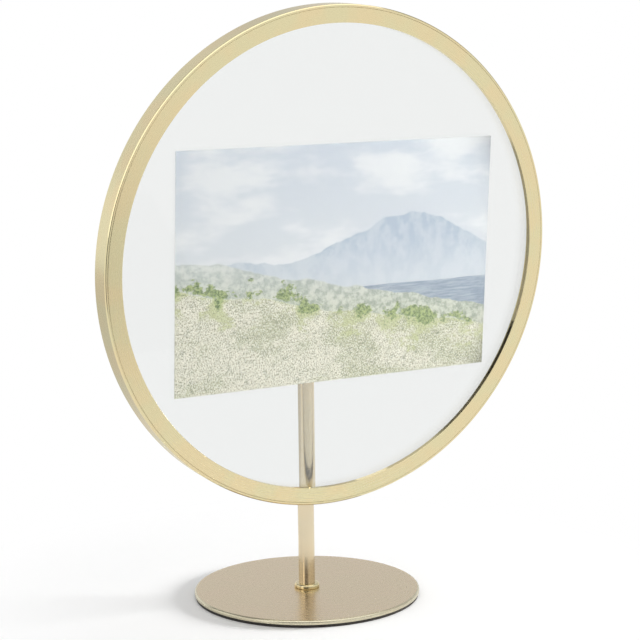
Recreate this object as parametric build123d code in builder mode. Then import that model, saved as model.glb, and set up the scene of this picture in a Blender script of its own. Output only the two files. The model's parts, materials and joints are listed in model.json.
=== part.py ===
# Round photo frame: a glass disc in a metal ring, carried by a stem on a round base.
# Millimetres, +Z up. The ring faces -Y. The origin is the middle of the stand's underside.
import os
from math import cos, radians, sin
from build123d import *

os.makedirs("parts", exist_ok=True)

# The ring and its place on the stem
ring_diameter = 213.0
ring_depth = 10.2
pivot_height = 154.7
ring_reach = 31.1  # from the pivot forward along the disc's axis to the ring's front rim
disc_lean = 4.0  # degrees, the top of the disc forward of the bottom
face_width = 7.6  # from the ring's outside in to the clear opening of the front face

# Clearances
moving_gap = 0.3  # between pieces that come apart
seat_gap = 0.05  # between pieces of one assembly
paper_gap = 0.1  # each side of the print
screw_gap = 0.2  # round a screw in a plain hole

# Hoop: the outer band, its rear flange and the inner wall that carries the rear pane
hoop_wall = 1.0
hoop_flange = 1.0
hoop_inner_wall = 0.8
rear_seat_width = 1.05  # how far the inner wall reaches in behind the rear pane's edge
hoop_rim_round = 0.35
hoop_lip_round = 0.2
hoop_rear_round = 0.5

# Bezel: the flat front face, its turned-in mouth and the skirt that plugs into the hoop
bezel_sink = 0.2  # how far the face lies behind the hoop's rim
bezel_thickness = 1.0
bezel_mouth_wall = 0.8
bezel_mouth_clear = 0.1  # from the mouth's end to the front pane
bezel_skirt = 0.6
bezel_skirt_clear = 0.8  # from the skirt's end to the hoop's flange
bezel_edge_round = 0.15
bezel_mouth_round = 0.3

# Panes, seals and the print
pane_thickness = 2.0
pane_edge_round = 0.3
front_seal_thickness = 1.2
front_seal_width = 2.0
rear_seal_thickness = 0.4
seal_inset = 0.1
print_width = 152.4
print_height = 101.6
print_thickness = 0.25
print_right = 1.9  # the print's middle, to the right of the disc's middle
print_drop = 1.8  # and below it

# Grip pads between the skirt and the hoop
pad_count = 6
pad_length = 14.0
pad_height = 4.0
pad_air = 0.08  # left between a pad and the hoop

# Hub on the rear pane
hub_diameter = 44.0
hub_thickness = 1.5
hub_edge_round = 0.4
bond_thickness = 0.4
bond_inset = 1.0

# Fork screwed to the hub
fork_flange_width = 25.0
fork_flange_height = 11.0
fork_flange_thickness = 1.5
fork_flange_round = 3.0
fork_cheek_thickness = 1.5
fork_cheek_radius = 4.2
fork_screw_spacing = 17.0

# Hub screws
hub_screw_diameter = 2.5
hub_screw_head_diameter = 4.5
hub_screw_head_height = 1.5
hub_screw_head_round = 0.5
hub_screw_slot_width = 0.6
hub_screw_slot_depth = 0.6

# Tilt pivot
pivot_screw_diameter = 2.9
pivot_head_diameter = 6.0
pivot_head_height = 2.2
pivot_head_round = 0.7
pivot_socket_width = 2.0  # across the flats
pivot_socket_depth = 1.2
pivot_tail = 0.8  # of the screw, past its nut
pivot_washer_diameter = 7.0
pivot_washer_thickness = 0.5
spring_diameter = 6.4
spring_metal = 0.35
spring_rise = 0.35
nut_width = 5.5  # across the flats
nut_height = 2.4
nut_edge_chamfer = 0.3

# Stem
stem_diameter = 7.2
stem_wall = 0.8
stem_top_drop = 9.0  # from the pivot down to the tube's top end
spigot_length = 12.0
shoulder_height = 2.0
tongue_thickness = 3.6
insert_length = 14.0
collar_diameter = 11.2
collar_height = 2.0
collar_round = 0.9
collar_foot_round = 0.4

# Base
base_diameter = 100.0
base_thickness = 1.8
base_edge_round = 1.0
base_foot_round = 0.2
pad_inset = 0.4  # from the plate's edge in to the pad's
pad_thickness = 1.3
pad_edge_round = 0.2
pad_hole_diameter = 12.0
base_screw_diameter = 3.8
base_screw_length = 10.0
base_screw_head_diameter = 9.0
base_screw_head_height = 1.0
base_screw_head_round = 0.3
base_screw_socket_width = 2.5  # across the flats
base_screw_socket_depth = 0.6

# Heights of the stand, worked out from the pieces
base_top = pad_thickness + base_thickness
tube_top = pivot_height - stem_top_drop

# Radii of the ring, worked out from the pieces
ring_radius = ring_diameter / 2
hoop_bore = ring_radius - hoop_wall
skirt_outer = hoop_bore - moving_gap
skirt_inner = skirt_outer - bezel_skirt
pane_radius = skirt_inner - moving_gap
opening_radius = ring_radius - face_width
rear_opening_radius = pane_radius - rear_seat_width
hoop_inner_back = rear_opening_radius + hoop_inner_wall

# Depths behind the ring's front rim, in the order of the stack
bezel_back = bezel_sink + bezel_thickness
front_pane_face = bezel_back + front_seal_thickness
mouth_end = front_pane_face - bezel_mouth_clear
print_face = front_pane_face + pane_thickness + paper_gap
rear_pane_face = print_face + print_thickness + paper_gap
rear_pane_back = rear_pane_face + pane_thickness
inner_wall_top = rear_pane_back + rear_seal_thickness
flange_face = ring_depth - hoop_flange
skirt_end = flange_face - bezel_skirt_clear
bond_back = rear_pane_back + bond_thickness
hub_back = bond_back + hub_thickness
fork_flange_back = hub_back + fork_flange_thickness

# Places across the pivot, measured from the stem's axis
tongue_half = tongue_thickness / 2
washer_inner = tongue_half + seat_gap
cheek_inner = washer_inner + pivot_washer_thickness + seat_gap
cheek_outer = cheek_inner + fork_cheek_thickness
nut_face = cheek_outer + spring_metal + spring_rise
pivot_screw_end = nut_face + nut_height + pivot_tail
pivot_hole_radius = pivot_screw_diameter / 2 + seat_gap


pivot = Vector(0, 0, pivot_height)
disc_back = Vector(0, cos(radians(disc_lean)), sin(radians(disc_lean)))
disc_axis = Axis(pivot, disc_back)


def disc_plane(depth):
    """A plane across the disc, this far behind its front rim: x to the right, y down, z backwards."""
    return Plane(origin=pivot + disc_back * (depth - ring_reach), x_dir=(1, 0, 0), z_dir=disc_back)


def section_plane():
    """The plane of the ring's cross-section: radius along x, depth behind the front rim along y."""
    across = Vector(1, 0, 0)
    return Plane(origin=pivot - disc_back * ring_reach, x_dir=across, z_dir=across.cross(disc_back))


def pivot_plane(place):
    """A plane square to the pivot, this far to the right of the stem's axis, with +Z up in it."""
    return Plane(origin=pivot + Vector(place, 0, 0), x_dir=(0, 1, 0), z_dir=(1, 0, 0))


def cheek_plane(place):
    """As pivot_plane, but turned with the disc: its x runs backwards along the disc's axis."""
    return Plane(origin=pivot + Vector(place, 0, 0), x_dir=disc_back, z_dir=(1, 0, 0))


def end_rim(piece, axis, end):
    """The widest round edge at one end of a piece: end 0 is the first along the axis, -1 the last."""
    return piece.edges().filter_by(GeomType.CIRCLE).group_by(axis)[end].sort_by(SortBy.RADIUS)[-1]


def round_corner(profile, radius, place):
    """Round the corner of a sketched profile that lies nearest a place."""
    fillet(profile.vertices().sort_by_distance(place)[0], radius)


def finish(part, label):
    part.label = label
    export_step(part, f"parts/{label}.step")


# Base plate: a disc with a rounded upper edge and a hole for the screw
with BuildPart() as base_plate:
    with BuildSketch(Plane.XY.offset(pad_thickness)):
        Circle(base_diameter / 2)
        Circle(base_screw_diameter / 2 + screw_gap, mode=Mode.SUBTRACT)
    extrude(amount=base_thickness)
    fillet(end_rim(base_plate, Axis.Z, -1), base_edge_round)
    fillet(end_rim(base_plate, Axis.Z, 0), base_foot_round)
finish(base_plate.part, "base_plate")

# Base pad: a soft ring that keeps the screw's head off the table
with BuildPart() as base_pad:
    with BuildSketch(Plane.XY):
        Circle(base_diameter / 2 - pad_inset)
        Circle(pad_hole_diameter / 2, mode=Mode.SUBTRACT)
    extrude(amount=pad_thickness)
    fillet(end_rim(base_pad, Axis.Z, 0), pad_edge_round)
finish(base_pad.part, "base_pad")

# Base screw: a flat head under the plate and a shank up into the stem's insert
with BuildPart() as base_screw:
    with BuildSketch(Plane.XY.offset(pad_thickness - base_screw_head_height)):
        Circle(base_screw_head_diameter / 2)
    extrude(amount=base_screw_head_height)
    fillet(base_screw.edges().group_by(Axis.Z)[0], base_screw_head_round)
    with BuildSketch(Plane.XY.offset(pad_thickness)):
        Circle(base_screw_diameter / 2)
    extrude(amount=base_screw_length)
    chamfer(base_screw.edges().group_by(Axis.Z)[-1], base_screw_head_round)
    with BuildSketch(Plane.XY.offset(pad_thickness - base_screw_head_height)):
        RegularPolygon(base_screw_socket_width / 2, side_count=6, major_radius=False)
    extrude(amount=base_screw_socket_depth, mode=Mode.SUBTRACT)
finish(base_screw.part, "base_screw")

# Stem tube: plain tube from the plate to just below the pivot
with BuildPart() as stem_tube:
    with BuildSketch(Plane.XY.offset(base_top)):
        Circle(stem_diameter / 2)
        Circle(stem_diameter / 2 - stem_wall, mode=Mode.SUBTRACT)
    extrude(amount=tube_top - base_top)
finish(stem_tube.part, "stem_tube")

# Stem collar: a rounded bead that covers the joint of tube and plate
with BuildPart() as stem_collar:
    with BuildSketch(Plane.XY.offset(base_top)):
        Circle(collar_diameter / 2)
        Circle(stem_diameter / 2 + seat_gap, mode=Mode.SUBTRACT)
    extrude(amount=collar_height)
    fillet(end_rim(stem_collar, Axis.Z, -1), collar_round)
    fillet(end_rim(stem_collar, Axis.Z, 0), collar_foot_round)
finish(stem_collar.part, "stem_collar")

# Stem insert: threaded plug in the tube's foot
with BuildPart() as stem_insert:
    with BuildSketch(Plane.XY.offset(base_top)):
        Circle(stem_diameter / 2 - stem_wall - seat_gap)
        Circle(base_screw_diameter / 2 + seat_gap, mode=Mode.SUBTRACT)
    extrude(amount=insert_length)
finish(stem_insert.part, "stem_insert")

# Stem head: spigot in the tube's top, shoulder on its rim, flat tongue with the pivot hole
with BuildPart() as stem_head:
    with BuildSketch(Plane.XY.offset(tube_top - spigot_length)):
        Circle(stem_diameter / 2 - stem_wall - seat_gap)
    extrude(amount=spigot_length)
    with BuildSketch(Plane.XY.offset(tube_top)):
        Circle(stem_diameter / 2)
    extrude(amount=shoulder_height)
    with BuildSketch(pivot_plane(0)):
        Circle(stem_diameter / 2)
        with Locations((0, shoulder_height - stem_top_drop)):
            Rectangle(stem_diameter, stem_top_drop - shoulder_height, align=(Align.CENTER, Align.MIN))
    extrude(amount=tongue_half, both=True)
    with BuildSketch(pivot_plane(0)):
        Circle(pivot_hole_radius)
    extrude(amount=tongue_thickness, both=True, mode=Mode.SUBTRACT)
finish(stem_head.part, "stem_head")

# Pivot washers: a thin nylon washer each side of the tongue
with BuildPart() as pivot_washers:
    for washer_place in (washer_inner, -washer_inner - pivot_washer_thickness):
        with BuildSketch(pivot_plane(washer_place)):
            Circle(pivot_washer_diameter / 2)
            Circle(pivot_hole_radius, mode=Mode.SUBTRACT)
        extrude(amount=pivot_washer_thickness)
finish(pivot_washers.part, "pivot_washers")

# Pivot screw: socket head on the right, shank through fork, washers, tongue, spring and nut
with BuildPart() as pivot_screw:
    with BuildSketch(pivot_plane(-pivot_screw_end)):
        Circle(pivot_screw_diameter / 2)
    extrude(amount=pivot_screw_end + cheek_outer)
    chamfer(pivot_screw.edges().group_by(Axis.X)[0], nut_edge_chamfer)
    with BuildSketch(pivot_plane(cheek_outer)):
        Circle(pivot_head_diameter / 2)
    extrude(amount=pivot_head_height)
    fillet(pivot_screw.edges().group_by(Axis.X)[-1], pivot_head_round)
    with BuildSketch(pivot_plane(cheek_outer + pivot_head_height - pivot_socket_depth)):
        RegularPolygon(pivot_socket_width / 2, side_count=6, major_radius=False)
    extrude(amount=pivot_socket_depth, mode=Mode.SUBTRACT)
finish(pivot_screw.part, "pivot_screw")

# Pivot spring: a coned washer between the left cheek and the nut
with BuildPart() as pivot_spring:
    with BuildSketch(Plane.XY.offset(pivot_height)):
        with BuildLine():
            Polyline(
                (-cheek_outer, spring_diameter / 2),
                (-cheek_outer - spring_metal, spring_diameter / 2),
                (-nut_face, pivot_hole_radius),
                (-nut_face + spring_metal, pivot_hole_radius),
                close=True,
            )
        make_face()
    revolve(axis=Axis(pivot, (1, 0, 0)))
finish(pivot_spring.part, "pivot_spring")

# Pivot nut: hexagon nut on the screw's tail
with BuildPart() as pivot_nut:
    with BuildSketch(pivot_plane(-nut_face - nut_height)):
        RegularPolygon(nut_width / 2, side_count=6, major_radius=False)
    extrude(amount=nut_height)
    with BuildSketch(pivot_plane(-nut_face - nut_height)):
        Circle(pivot_hole_radius)
    extrude(amount=nut_height, mode=Mode.SUBTRACT)
finish(pivot_nut.part, "pivot_nut")

# Pivot fork: flange on the hub and two cheeks that reach back to the pivot
with BuildPart() as pivot_fork:
    with BuildSketch(disc_plane(hub_back)):
        RectangleRounded(fork_flange_width, fork_flange_height, fork_flange_round)
        with GridLocations(fork_screw_spacing, 0, 2, 1):
            Circle(hub_screw_diameter / 2 + screw_gap, mode=Mode.SUBTRACT)
    extrude(amount=fork_flange_thickness)
    for cheek_place in (cheek_inner, -cheek_outer):
        with BuildSketch(cheek_plane(cheek_place)):
            Circle(fork_cheek_radius)
            Rectangle(ring_reach - hub_back, 2 * fork_cheek_radius, align=(Align.MAX, Align.CENTER))
            Circle(pivot_hole_radius, mode=Mode.SUBTRACT)
        extrude(amount=fork_cheek_thickness)
finish(pivot_fork.part, "pivot_fork")

# Hub disc: round plate bonded to the back of the rear pane, with two threaded holes
with BuildPart() as hub_disc:
    with BuildSketch(disc_plane(bond_back)):
        Circle(hub_diameter / 2)
        with GridLocations(fork_screw_spacing, 0, 2, 1):
            Circle(hub_screw_diameter / 2 + seat_gap, mode=Mode.SUBTRACT)
    extrude(amount=hub_thickness)
    fillet(end_rim(hub_disc, disc_axis, -1), hub_edge_round)
finish(hub_disc.part, "hub_disc")

# Hub bond: clear adhesive layer between the hub disc and the rear pane
with BuildPart() as hub_bond:
    with BuildSketch(disc_plane(rear_pane_back)):
        Circle(hub_diameter / 2 - bond_inset)
    extrude(amount=bond_thickness)
finish(hub_bond.part, "hub_bond")

# Hub screws: two slotted pan heads that hold the fork to the hub disc
with BuildPart() as hub_screws:
    with BuildSketch(disc_plane(bond_back)):
        with GridLocations(fork_screw_spacing, 0, 2, 1):
            Circle(hub_screw_diameter / 2)
    extrude(amount=hub_thickness + fork_flange_thickness)
    with BuildSketch(disc_plane(fork_flange_back)):
        with GridLocations(fork_screw_spacing, 0, 2, 1):
            Circle(hub_screw_head_diameter / 2)
    extrude(amount=hub_screw_head_height)
    fillet(hub_screws.edges().group_by(disc_axis)[-1], hub_screw_head_round)
    with BuildSketch(disc_plane(fork_flange_back + hub_screw_head_height - hub_screw_slot_depth)):
        with GridLocations(fork_screw_spacing, 0, 2, 1):
            Rectangle(hub_screw_head_diameter, hub_screw_slot_width)
    extrude(amount=hub_screw_slot_depth, mode=Mode.SUBTRACT)
finish(hub_screws.part, "hub_screws")

# Ring hoop: outer band, rear flange and inner wall, one rolled section
with BuildPart() as ring_hoop:
    with BuildSketch(section_plane()) as hoop_profile:
        with BuildLine():
            Polyline(
                (hoop_bore, 0),
                (ring_radius, 0),
                (ring_radius, ring_depth),
                (rear_opening_radius, ring_depth),
                (rear_opening_radius, inner_wall_top),
                (hoop_inner_back, inner_wall_top),
                (hoop_inner_back, flange_face),
                (hoop_bore, flange_face),
                close=True,
            )
        make_face()
        round_corner(hoop_profile, hoop_rim_round, (ring_radius, 0))
        round_corner(hoop_profile, hoop_lip_round, (hoop_bore, 0))
        round_corner(hoop_profile, hoop_rear_round, (ring_radius, ring_depth))
        round_corner(hoop_profile, hoop_lip_round, (rear_opening_radius, ring_depth))
    revolve(axis=disc_axis)
finish(ring_hoop.part, "ring_hoop")

# Front bezel: flat face ring, turned in at the mouth, with a skirt that plugs into the hoop
with BuildPart() as front_bezel:
    with BuildSketch(section_plane()) as bezel_profile:
        with BuildLine():
            Polyline(
                (opening_radius, bezel_sink),
                (skirt_outer, bezel_sink),
                (skirt_outer, skirt_end),
                (skirt_inner, skirt_end),
                (skirt_inner, bezel_back),
                (opening_radius + bezel_mouth_wall, bezel_back),
                (opening_radius + bezel_mouth_wall, mouth_end),
                (opening_radius, mouth_end),
                close=True,
            )
        make_face()
        round_corner(bezel_profile, bezel_edge_round, (skirt_outer, bezel_sink))
        round_corner(bezel_profile, bezel_mouth_round, (opening_radius, bezel_sink))
    revolve(axis=disc_axis)
finish(front_bezel.part, "front_bezel")

# Front and rear seals: thin soft rings that bond each pane to its metal
with BuildPart() as front_gasket:
    with BuildSketch(disc_plane(bezel_back)):
        Circle(pane_radius - seal_inset)
        Circle(pane_radius - seal_inset - front_seal_width, mode=Mode.SUBTRACT)
    extrude(amount=front_seal_thickness)
finish(front_gasket.part, "front_gasket")

with BuildPart() as rear_gasket:
    with BuildSketch(disc_plane(rear_pane_back)):
        Circle(hoop_inner_back)
        Circle(rear_opening_radius + seal_inset, mode=Mode.SUBTRACT)
    extrude(amount=rear_seal_thickness)
finish(rear_gasket.part, "rear_gasket")

# Panes: two glass discs with ground edges
with BuildPart() as front_glass:
    with BuildSketch(disc_plane(front_pane_face)):
        Circle(pane_radius)
    extrude(amount=pane_thickness)
    chamfer(front_glass.edges(), pane_edge_round)
finish(front_glass.part, "front_glass")

with BuildPart() as rear_glass:
    with BuildSketch(disc_plane(rear_pane_face)):
        Circle(pane_radius)
    extrude(amount=pane_thickness)
    chamfer(rear_glass.edges(), pane_edge_round)
finish(rear_glass.part, "rear_glass")

# Print: a flat sheet between the panes
with BuildPart() as photo_print:
    with BuildSketch(disc_plane(print_face)):
        with Locations((print_right, print_drop)):
            Rectangle(print_width, print_height)
    extrude(amount=print_thickness)
finish(photo_print.part, "photo_print")

# Cover pads: short curved grip strips on the bezel's skirt
pad_inner = skirt_outer + pad_air / 2
pad_outer = hoop_bore - pad_air
pad_start = (bezel_back + skirt_end - pad_height) / 2
with BuildPart() as cover_pads:
    with BuildSketch(disc_plane(pad_start)):
        with PolarLocations(0, pad_count):
            Rectangle(ring_radius, pad_length, align=(Align.MIN, Align.CENTER))
        Circle(pad_outer, mode=Mode.INTERSECT)
        Circle(pad_inner, mode=Mode.SUBTRACT)
    extrude(amount=pad_height)
finish(cover_pads.part, "cover_pads")
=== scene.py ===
import json
from math import asin, cos, pi, radians, sin, tan

import bmesh
import bpy
from mathutils import Matrix, Vector


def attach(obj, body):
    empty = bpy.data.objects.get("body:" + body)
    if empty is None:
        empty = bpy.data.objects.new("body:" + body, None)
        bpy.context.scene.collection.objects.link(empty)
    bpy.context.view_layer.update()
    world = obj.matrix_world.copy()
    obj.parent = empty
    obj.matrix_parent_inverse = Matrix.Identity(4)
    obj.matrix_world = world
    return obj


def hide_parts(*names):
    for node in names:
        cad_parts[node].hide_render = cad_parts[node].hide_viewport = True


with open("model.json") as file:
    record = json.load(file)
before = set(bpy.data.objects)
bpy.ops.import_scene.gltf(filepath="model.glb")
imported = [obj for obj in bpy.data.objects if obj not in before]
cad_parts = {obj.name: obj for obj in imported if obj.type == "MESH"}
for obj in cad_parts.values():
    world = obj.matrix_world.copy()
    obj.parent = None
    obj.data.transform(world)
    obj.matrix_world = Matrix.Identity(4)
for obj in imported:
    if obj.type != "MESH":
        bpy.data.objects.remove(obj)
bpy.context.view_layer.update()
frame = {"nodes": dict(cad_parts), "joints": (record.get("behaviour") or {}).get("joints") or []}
print("frame loaded:", len(frame["nodes"]), "nodes")

# The disc's own axes come from its joints: x to the right, y up in the disc, z out of its face.
joints = {joint["name"]: joint for joint in frame["joints"]}
pivotPlace = Vector(joints["head_tilt"]["pos_m"])
discRight = Vector(joints["head_tilt"]["axis"]).normalized()
discFront = Vector(joints["cover_release"]["axis"]).normalized()
discUp = discFront.cross(discRight)
discTurn = Matrix((discRight, discUp, discFront)).transposed()
discFrame = Matrix.Translation(pivotPlace) @ discTurn.to_4x4()
standFrame = Matrix.Identity(4)
pivotFrame = Matrix.Translation(pivotPlace) @ Matrix.Rotation(pi / 2, 4, "Y")  # its z runs along the pivot


class Span:
    # how far a CAD node reaches along and round the z axis of a frame
    def __init__(self, node, axes):
        inverse = axes.inverted()
        places = [inverse @ vertex.co for vertex in frame["nodes"][node].data.vertices]
        self.places = places
        self.low = min(place.z for place in places)
        self.high = max(place.z for place in places)
        self.inner = min(place.xy.length for place in places)
        self.outer = max(place.xy.length for place in places)


# Camera, where the photograph was taken from
cameraSettings = {
    "place": (-0.40131, -0.70950, 0.25048),
    "turn": 30.013,  # degrees to the right of straight ahead
    "dip": 8.873,
    "roll": 0.768,
    "sensor": 36.0,
    "lens": 106.38,
}


def makeCamera():
    turn, dip, roll = (radians(cameraSettings[name]) for name in ("turn", "dip", "roll"))
    ahead = Vector((sin(turn) * cos(dip), cos(turn) * cos(dip), -sin(dip)))
    side = ahead.cross(Vector((0, 0, 1))).normalized()
    over = side.cross(ahead)
    across = side * cos(roll) - over * sin(roll)
    above = side * sin(roll) + over * cos(roll)
    data = bpy.data.cameras.new("frameCamera")
    data.sensor_width = cameraSettings["sensor"]
    data.lens = cameraSettings["lens"]
    camera = bpy.data.objects.new("frameCamera", data)
    bpy.context.scene.collection.objects.link(camera)
    turned = Matrix((across, above, -ahead)).transposed().to_4x4()
    camera.matrix_world = Matrix.Translation(cameraSettings["place"]) @ turned
    bpy.context.scene.camera = camera


makeCamera()
print("camera placed")


# Material helpers
def addNode(tree, kind, inputs=None, **settings):
    node = tree.nodes.new(kind)
    for name, value in settings.items():
        setattr(node, name, value)
    for name, value in (inputs or {}).items():
        if isinstance(value, bpy.types.NodeSocket):
            tree.links.new(value, node.inputs[name])
        else:
            node.inputs[name].default_value = value
    return node


def calc(tree, operation, first, second=0.0, third=0.0):
    inputs = {0: first, 1: second, 2: third}
    return addNode(tree, "ShaderNodeMath", inputs, operation=operation).outputs[0]


def remap(tree, value, low, high, newLow, newHigh, smooth=True):
    inputs = {0: value, 1: low, 2: high, 3: newLow, 4: newHigh}
    kind = "SMOOTHSTEP" if smooth else "LINEAR"
    return addNode(tree, "ShaderNodeMapRange", inputs, interpolation_type=kind).outputs[0]


def mixColours(tree, factor, first, second):
    inputs = {0: factor}
    for index, tone in ((6, first), (7, second)):
        inputs[index] = tone if isinstance(tone, bpy.types.NodeSocket) else (*tone, 1)
    return addNode(tree, "ShaderNodeMix", inputs, data_type="RGBA").outputs[2]


def noiseOf(tree, vector, scale, detail=2.0, roughness=0.5, dimensions="3D", w=None):
    inputs = {"Scale": scale, "Detail": detail, "Roughness": roughness}
    if vector is not None:
        inputs["Vector"] = vector
    if w is not None:
        inputs["W"] = w
    return addNode(tree, "ShaderNodeTexNoise", inputs, noise_dimensions=dimensions).outputs[0]


def localPlace(tree, axes, unit=0.001):
    # object coordinates measured from the middle of a frame, in millimetres by default
    place = addNode(tree, "ShaderNodeTexCoord").outputs["Object"]
    inputs = {
        "Vector": place,
        "Location": axes.to_translation(),
        "Rotation": axes.to_euler(),
        "Scale": (unit, unit, unit),
    }
    return addNode(tree, "ShaderNodeMapping", inputs, vector_type="TEXTURE").outputs[0]


def blankMaterial(name):
    material = bpy.data.materials.new(name)
    material.use_nodes = True
    tree = material.node_tree
    tree.nodes.clear()
    return material, tree


def closeMaterial(tree, shader):
    addNode(tree, "ShaderNodeOutputMaterial", {"Surface": shader})


def viewRays(tree):
    path = addNode(tree, "ShaderNodeLightPath")
    seen = calc(tree, "MAXIMUM", path.outputs["Is Camera Ray"], path.outputs["Is Glossy Ray"])
    return calc(tree, "MAXIMUM", seen, path.outputs["Is Transmission Ray"])


def mouthRays(tree):
    # rays that the mouth's wall sends back through the panes
    path = addNode(tree, "ShaderNodeLightPath")
    mirrored = calc(tree, "MINIMUM", path.outputs["Glossy Depth"], 1.0)
    return calc(tree, "MULTIPLY", mirrored, path.outputs["Is Transmission Ray"])


# Floor, background, cards and lamps
floorSettings = {
    "colour": (0.90, 0.90, 0.90),
    "lift": 0.08,  # glow that the eye sees on the floor, under the shadow
    "mouthTone": 0.36,  # what the mouth's wall mirrors behind on the left
    "mouthSide": (-0.03, 0.02),
    "mouthBack": (0.10, 0.20),
    "radius": 8.0,
    "sides": 96,
    "fadeStart": 0.078,
    "fadeEnd": 0.170,
}
worldSettings = {  # a pair is where one tone starts to change and where the next is reached
    "horizonTop": 0.185,  # sine of the height up to which the background is white
    "soft": 0.02,
    "frontLight": 0.28,
    "frontTurn": (-0.20, 0.40),
    "behindLight": (1.00, 0.69),  # on the left and on the right
    "behindTurn": (-0.10, 0.35),
    "zenithLight": 0.25,
    "zenithTurn": (0.55, 0.80),
    "polishLight": 0.95,  # what metal mirrors above the front horizon
    "polishFoot": (0.25, 0.35),
    "polishBack": (-0.10, 0.10),
    "polishLeft": (-0.45, -0.15),
    "arcInner": 0.834,  # cosines of the dark arc's angles from the disc's axis
    "arcOuter": 0.743,
    "arcFoot": (0.27, 0.28),
    "arcSide": (-0.12, 0.03),
    "arcLight": 0.0,
}
cardSettings = [  # cards that only the metal shows, each a ribbon of corner pairs
    {
        "name": "cameraCard",
        "pairs": [
            ((-0.03, -0.49, 0), (-0.41, -0.215, 0)),
            ((-0.03, -0.49, 0.24), (-0.41, -0.215, 0.24)),
        ],
        "tone": 0.54,
    },
    {
        "name": "behindCard",
        "pairs": [
            ((-1.10, 0.15, 0.002), (0.03, 0.15, 0.002)),
            ((-1.10, 1.40, 0.002), (0.03, 1.40, 0.002)),
        ],
        "tone": 0.66,
    },
    {
        "name": "frontCard",
        "pairs": [
            ((-0.10, -0.38, 0.002), (0.14, -0.38, 0.002)),
            ((-0.10, -0.80, 0.002), (0.28, -0.80, 0.002)),
        ],
        "tone": 0.66,
    },
    {
        "name": "seamCard",
        "pairs": [
            ((-0.078, -0.279, 0.06), (-0.305, -0.173, 0.06)),
            ((-0.078, -0.279, 0.23), (-0.305, -0.173, 0.23)),
        ],
        "tone": 0.08,
    },
]
ribbonSettings = {  # the long soft light that the rim mirrors, by heading and height in degrees
    "headings": (94.0, 102.0, 122.0, 160.0, 200.0, 221.0, 232.0, 238.0, 242.0, 245.0),
    "heights": (50.0, 58.4, 67.7, 72.3, 67.8, 57.0, 44.0, 30.5, 16.0, 1.0),
    "halfWidth": 22.0,
    "distance": 1.3,
    "tone": 1.55,
}
lampSettings = {
    "overheadLamp": {"place": (-0.10, 0.05, 1.25), "size": (1.6, 0.6), "watts": 3.5},
    "rightLamp": {"place": (1.22, -0.45, 0.30), "size": (0.45, 0.30), "watts": 33.0},
    "leftLamp": {"place": (-1.00, -0.58, 0.80), "size": (0.55, 0.55), "watts": 1.0},
    "frontLamp": {"place": (-0.30, -1.90, 0.75), "size": (1.0, 1.0), "watts": 1.5},
    "backLamp": {"place": (0.40, 1.80, 0.80), "size": (1.0, 1.0), "watts": 2.0},
}
lampAim = (0.0, 0.0, 0.12)


def makeFloor():
    settings = floorSettings
    material, tree = blankMaterial("paleFloor")
    place = addNode(tree, "ShaderNodeTexCoord").outputs["Object"]
    away = addNode(tree, "ShaderNodeVectorMath", {0: place}, operation="LENGTH").outputs["Value"]
    fade = remap(tree, away, settings["fadeStart"], settings["fadeEnd"], 0.0, 1.0)
    seen = viewRays(tree)
    paint = addNode(tree, "ShaderNodeBsdfDiffuse", {"Color": (*settings["colour"], 1)})
    lift = addNode(tree, "ShaderNodeEmission", {"Strength": calc(tree, "MULTIPLY", seen, settings["lift"])})
    near = addNode(tree, "ShaderNodeAddShader", {0: paint.outputs[0], 1: lift.outputs[0]})
    parts = addNode(tree, "ShaderNodeSeparateXYZ", {0: place}).outputs
    dim = calc(tree, "MULTIPLY", mouthRays(tree), remap(tree, parts["X"], *settings["mouthSide"], 1.0, 0.0))
    dim = calc(tree, "MULTIPLY", dim, remap(tree, parts["Y"], *settings["mouthBack"], 0.0, 1.0))
    glow = remap(tree, dim, 0.0, 1.0, 1.0, settings["mouthTone"], False)
    far = addNode(tree, "ShaderNodeEmission", {"Strength": glow})
    factor = calc(tree, "MULTIPLY", fade, seen)
    both = addNode(tree, "ShaderNodeMixShader", {0: factor, 1: near.outputs[0], 2: far.outputs[0]})
    closeMaterial(tree, both.outputs[0])
    mesh = bpy.data.meshes.new("paleFloor")
    sheet = bmesh.new()
    bmesh.ops.create_circle(sheet, cap_ends=True, segments=settings["sides"], radius=settings["radius"])
    sheet.to_mesh(mesh)
    sheet.free()
    mesh.materials.append(material)
    floor = bpy.data.objects.new("paleFloor", mesh)
    bpy.context.scene.collection.objects.link(floor)


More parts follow.
